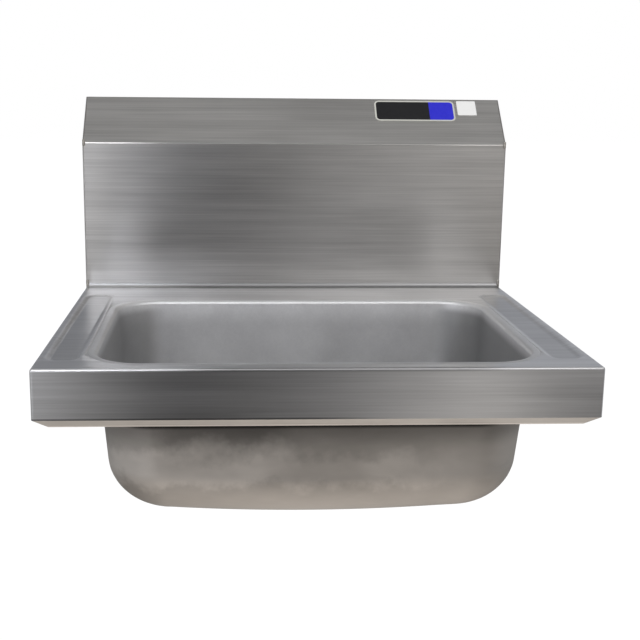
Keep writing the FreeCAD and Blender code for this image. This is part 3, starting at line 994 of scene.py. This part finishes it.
def grade(tree, shader, stops, left_tint, right_tint):
    # Light levels at places across the room, with a tint that shifts from left to right.
    split = add(tree, "ShaderNodeSeparateXYZ")
    along = add(tree, "ShaderNodeMapRange")
    set_inputs(along, From_Min=room_left, From_Max=room_right)
    tones = add(tree, "ShaderNodeValToRGB")
    while len(tones.color_ramp.elements) < len(stops):
        tones.color_ramp.elements.new(1.0)
    for element, (x, level) in zip(tones.color_ramp.elements, stops):
        element.position = (x - room_left) / (room_right - room_left)
        tint = left_tint.lerp(right_tint, element.position)
        element.color = (*(tint * level / card_gain), 1)
    tree.links.new(add(tree, "ShaderNodeTexCoord").outputs["Object"], split.inputs["Vector"])
    tree.links.new(split.outputs["X"], along.inputs["Value"])
    tree.links.new(along.outputs["Result"], tones.inputs["Fac"])
    tree.links.new(tones.outputs["Color"], shader.inputs["Emission Color"])


def make_card(name, low, high, stops, left_tint, right_tint):
    # An upright or level studio card that only the metal's reflections show.
    mesh = bmesh.new()
    low, high = Vector(low), Vector(high)
    turn = Matrix.Identity(4)
    if low.y == high.y:
        turn = Matrix.Rotation(math.pi / 2, 4, "X")
    if low.x == high.x:
        turn = Matrix.Rotation(math.pi / 2, 4, "Y")
    bmesh.ops.create_grid(mesh, x_segments=1, y_segments=1, size=0.5, matrix=turn)
    bmesh.ops.scale(mesh, verts=mesh.verts[:], vec=[side or 1 for side in high - low])
    bmesh.ops.translate(mesh, verts=mesh.verts[:], vec=(low + high) / 2)
    data = bpy.data.meshes.new(name)
    mesh.to_mesh(data)
    mesh.free()
    made, tree, shader = new_material(name)
    set_inputs(shader, Base_Color=(0, 0, 0, 1), Specular_IOR_Level=0.0, Emission_Strength=card_gain)
    grade(tree, shader, stops, left_tint, right_tint)
    data.materials.append(made)
    piece = bpy.data.objects.new(name, data)
    piece.visible_camera = False
    piece.visible_diffuse = False
    piece.visible_shadow = False
    bpy.context.scene.collection.objects.link(piece)


def make_world():
    world = bpy.data.worlds.new("studio")
    bpy.context.scene.world = world
    world.use_nodes = True
    background = world.node_tree.nodes["Background"]
    set_inputs(background, Color=(1, 1, 1, 1), Strength=world_level)


# The pale floor and the even light all round
deck_above_floor = 0.864
floor_size = 40
floor_tone = (0.9, 0.9, 0.9)
floor_lift = 0.15
world_level = 1.0

# The room of cards: its sides, front, near front, wall line, back and heights
room_left = -1.25
room_right = 1.25
room_front = -1.8
near_front = -1.15
strip_y = -1.74
ceiling_seam = -0.6
wall_line = 0.3
room_back = 1.6
room_low = -0.98
eye_low = -0.34
wall_seam = -0.2
wall_top = 0.3
eye_high = 0.35
high_low = 0.5
strip_low = 0.55
strip_high = 1.05
room_top = 1.6
card_gain = 8.0
cool_light = Vector((0.95, 0.98, 1.06))
plain_light = Vector((1, 1, 1))
mild_light = Vector((1.02, 0.985, 0.95))
warm_light = Vector((1.0, 0.93, 0.86))
tan_light = Vector((1.05, 0.98, 0.88))

# Each card: two corners, light levels at places from left to right, and the tint at both ends
cards = (
    ("low_card", (room_left, near_front, room_low), (room_right, near_front, eye_low),
     ((room_left, 0.35), (-0.36, 0.44), (-0.27, 0.29), (-0.2, 0.0), (-0.1, 0.0), (0.1, 0.07), (0.24, 0.45),
      (0.33, 1.05), (0.42, 0.15), (room_right, 0.05)), plain_light, tan_light),
    ("eye_card", (room_left, near_front, eye_low), (room_right, near_front, eye_high),
     ((room_left, 1.3), (-0.6, 1.45), (-0.39, 0.85), (-0.345, 0.55), (-0.28, 0.02), (-0.1, 0.02), (0.1, 0.27),
      (0.32, 0.37), (0.5, 0.4), (room_right, 0.4)), cool_light, mild_light),
    ("high_card", (room_left, room_front, high_low), (room_right, room_front, room_top),
     ((room_left, 2.0), (-0.46, 1.4), (-0.28, 0.25), (-0.1, 0.22), (0.1, 0.55), (0.3, 0.8), (0.6, 1.2),
      (room_right, 2.0)), plain_light, mild_light),
    ("left_strip", (-0.49, strip_y, strip_low), (-0.30, strip_y, strip_high), even(8.0),
     cool_light, cool_light),
    ("right_strip", (0.50, strip_y, strip_low), (0.66, strip_y, strip_high), even(2.6),
     plain_light, plain_light),
    ("front_ceiling", (room_left, room_front, room_top), (room_right, ceiling_seam, room_top),
     ((room_left, 1.5), (-0.2, 1.1), (0.4, 1.35), (room_right, 1.5)), plain_light, plain_light),
    ("back_ceiling", (room_left, ceiling_seam, room_top), (room_right, room_back, room_top), even(0.2),
     plain_light, plain_light),
    ("back_card", (room_left, room_back, wall_top), (room_right, room_back, room_top), even(0.25),
     plain_light, plain_light),
    ("low_wall", (room_left, wall_line, room_low), (room_right, wall_line, wall_seam),
     ((room_left, 0.35), (-0.6, 0.25), (-0.36, 0.03), (-0.3, 0.03), (-0.19, 0.55), (0.19, 0.55), (0.3, 0.03),
      (0.36, 0.03), (0.6, 0.25), (room_right, 0.35)), plain_light, plain_light),
    ("high_wall", (room_left, wall_line, wall_seam), (room_right, wall_line, wall_top),
     ((room_left, 0.15), (-0.25, 0.26), (-0.18, 0.6), (0.18, 0.6), (0.25, 0.4), (room_right, 0.8)),
     cool_light, cool_light),
    ("floor_card", (room_left, near_front, room_low), (room_right, wall_line, room_low),
     ((room_left, 0.15), (-0.3, 0.38), (0.05, 1.1), (0.3, 0.62), (room_right, 0.2)), warm_light, warm_light),
    ("left_card", (room_left, room_front, room_low), (room_left, room_back, room_top), even(0.45),
     plain_light, plain_light),
    ("right_card", (room_right, room_front, room_low), (room_right, room_back, room_top), even(0.45),
     plain_light, plain_light),
)
make_floor()
for card in cards:
    make_card(*card)
make_world()

# Camera found from the photograph's outline
camera_x = -0.0690
camera_before_apron = 0.7994
camera_above_deck = 0.2077
camera_yaw = math.radians(2.981)
camera_pitch = math.radians(12.039)
camera_roll = math.radians(0.525)
focal_pixels = 1110.1
centre_pixel = 285.0
image_pixels = 640

camera_at = Vector((camera_x, front_y - camera_before_apron, deck_z + camera_above_deck))
look = Vector((math.sin(camera_yaw) * math.cos(camera_pitch),
               math.cos(camera_yaw) * math.cos(camera_pitch), -math.sin(camera_pitch)))
right = Vector((math.cos(camera_yaw), -math.sin(camera_yaw), 0))
up = right.cross(look)
across = right * math.cos(camera_roll) + up * math.sin(camera_roll)
above = up * math.cos(camera_roll) - right * math.sin(camera_roll)
camera_data = bpy.data.cameras.new("camera")
camera_data.lens = focal_pixels / image_pixels * camera_data.sensor_width
camera_data.shift_x = 0.5 - centre_pixel / image_pixels
camera = bpy.data.objects.new("camera", camera_data)
camera.matrix_world = Matrix.Translation(camera_at) @ Matrix((across, above, -look)).transposed().to_4x4()
bpy.context.scene.collection.objects.link(camera)
bpy.context.scene.camera = camera

bpy.context.scene.view_settings.view_transform = "Standard"
